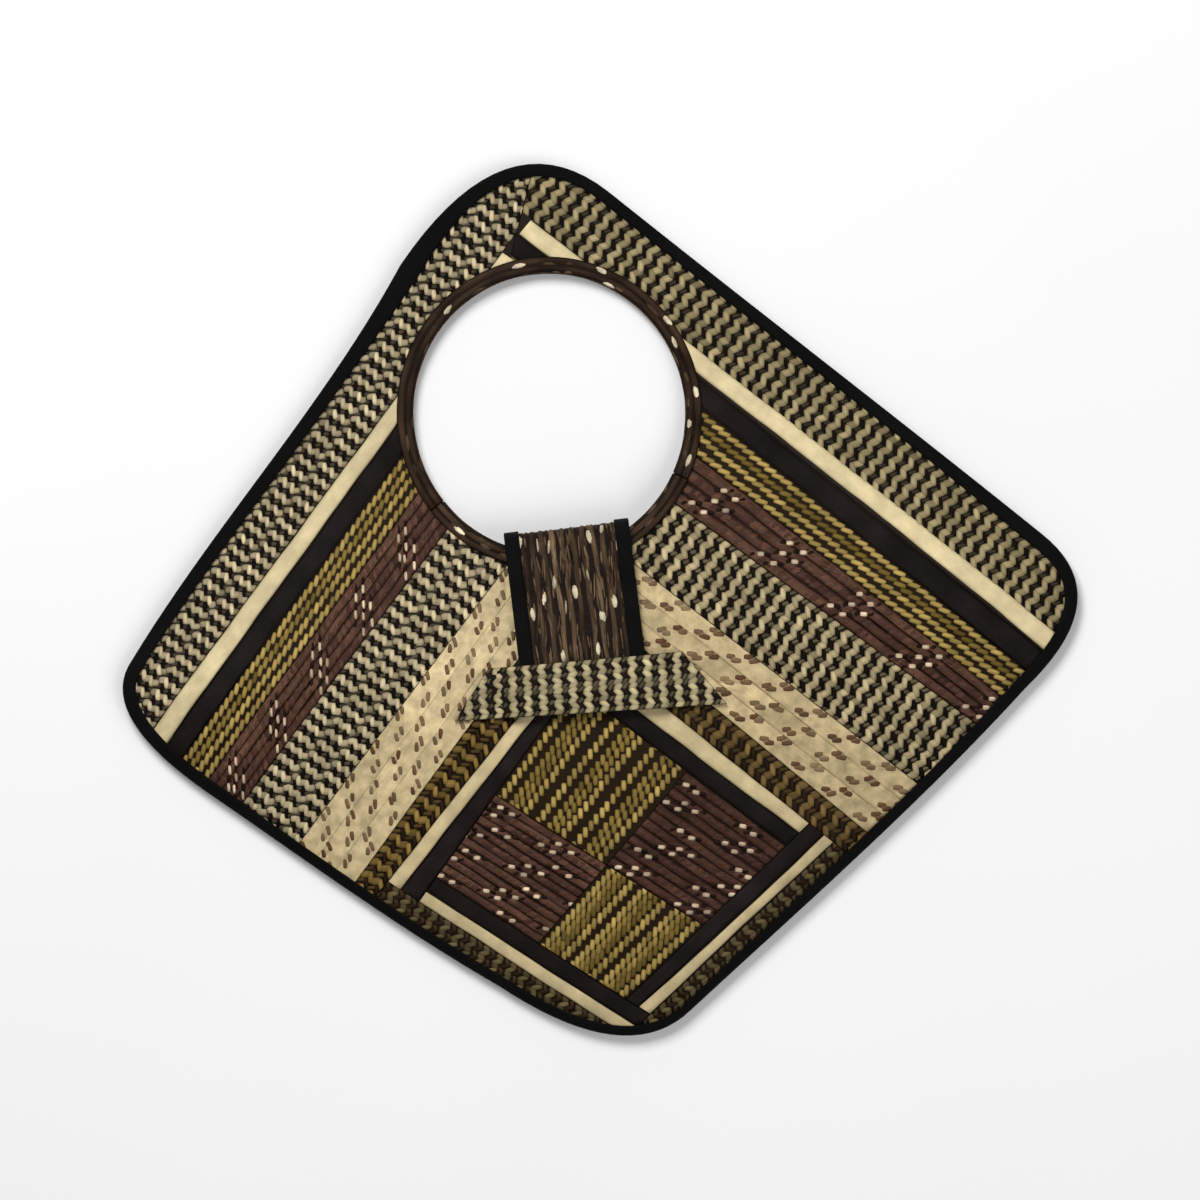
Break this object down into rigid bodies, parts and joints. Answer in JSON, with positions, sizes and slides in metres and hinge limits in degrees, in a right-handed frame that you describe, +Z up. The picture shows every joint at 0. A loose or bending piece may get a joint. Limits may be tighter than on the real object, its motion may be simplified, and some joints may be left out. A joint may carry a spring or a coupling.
{
  "type": "woven handbag",
  "caption": "Flat diamond-shaped handbag of sewn cane braids with a taped edge, a round hand hole as handle, a pouch below it, and a folded closing tab under a keeper band.",
  "frame": {"origin": "on the surface the bag rests on, under the middle of its box", "axes": "+X to the bag's right, +Y towards the handle, +Z up out of the front panel; the bag lies on its back"},
  "size_m": [0.4364, 0.3991, 0.0395],
  "materials": {
    "zigzag_braid": "flat cane splints braided in cream and black zigzag lines, low sheen",
    "cream_cane": "smooth cream cane strip with fine grain along it, satin",
    "dark_cane": "smooth dark brown stained cane strip, satin",
    "gold_cord": "twisted golden grass cords with dark strands between, silky sheen",
    "maroon_braid": "braid of long dark maroon splints with clusters of cream flecks, satin",
    "speckled_cane": "cream cane braid with rows of small brown floats, satin",
    "tan_braid": "narrow braid in tan and black zigzag lines, low sheen",
    "black_tape": "black woven bias tape with a line of stitching, matt",
    "rim_braid": "dark brown ribbed cane braid with scattered cream flecks, satin"
  },
  "bodies": {
    "root": {"zigzag_outer_left": "zigzag_braid", "cream_strip_left": "cream_cane", "dark_strip_left": "dark_cane", "gold_cords_left": "gold_cord", "maroon_braid_left": "maroon_braid", "zigzag_inner_left": "zigzag_braid", "speckled_strip_left": "speckled_cane", "tan_zigzag_left": "tan_braid", "cream_top_left": "cream_cane", "zigzag_outer_right": "zigzag_braid", "cream_strip_right": "cream_cane", "dark_strip_right": "dark_cane", "gold_cords_right": "gold_cord", "maroon_braid_right": "maroon_braid", "zigzag_inner_right": "zigzag_braid", "speckled_strip_right": "speckled_cane", "tan_zigzag_right": "tan_braid", "cream_top_right": "cream_cane", "dark_top_right": "dark_cane", "cream_frame_upper_left": "cream_cane", "dark_frame_upper_left": "dark_cane", "cream_frame_upper_right": "cream_cane", "dark_frame_upper_right": "dark_cane", "cream_frame_lower_left": "cream_cane", "dark_frame_lower_left": "dark_cane", "cream_frame_lower_right": "cream_cane", "dark_frame_lower_right": "dark_cane", "tan_lower_left": "tan_braid", "tan_lower_right": "tan_braid", "gold_patch_top": "gold_cord", "maroon_patch_left": "maroon_braid", "maroon_patch_right": "maroon_braid", "gold_patch_bottom": "gold_cord", "back_panel": "zigzag_braid", "edge_binding": "black_tape", "rim_upper": "rim_braid", "rim_front": "rim_braid", "rim_back": "rim_braid", "tab_braid": "rim_braid", "tab_binding_left": "black_tape", "tab_binding_right": "black_tape", "keeper_band": "zigzag_braid"}
  },
  "joints": []
}
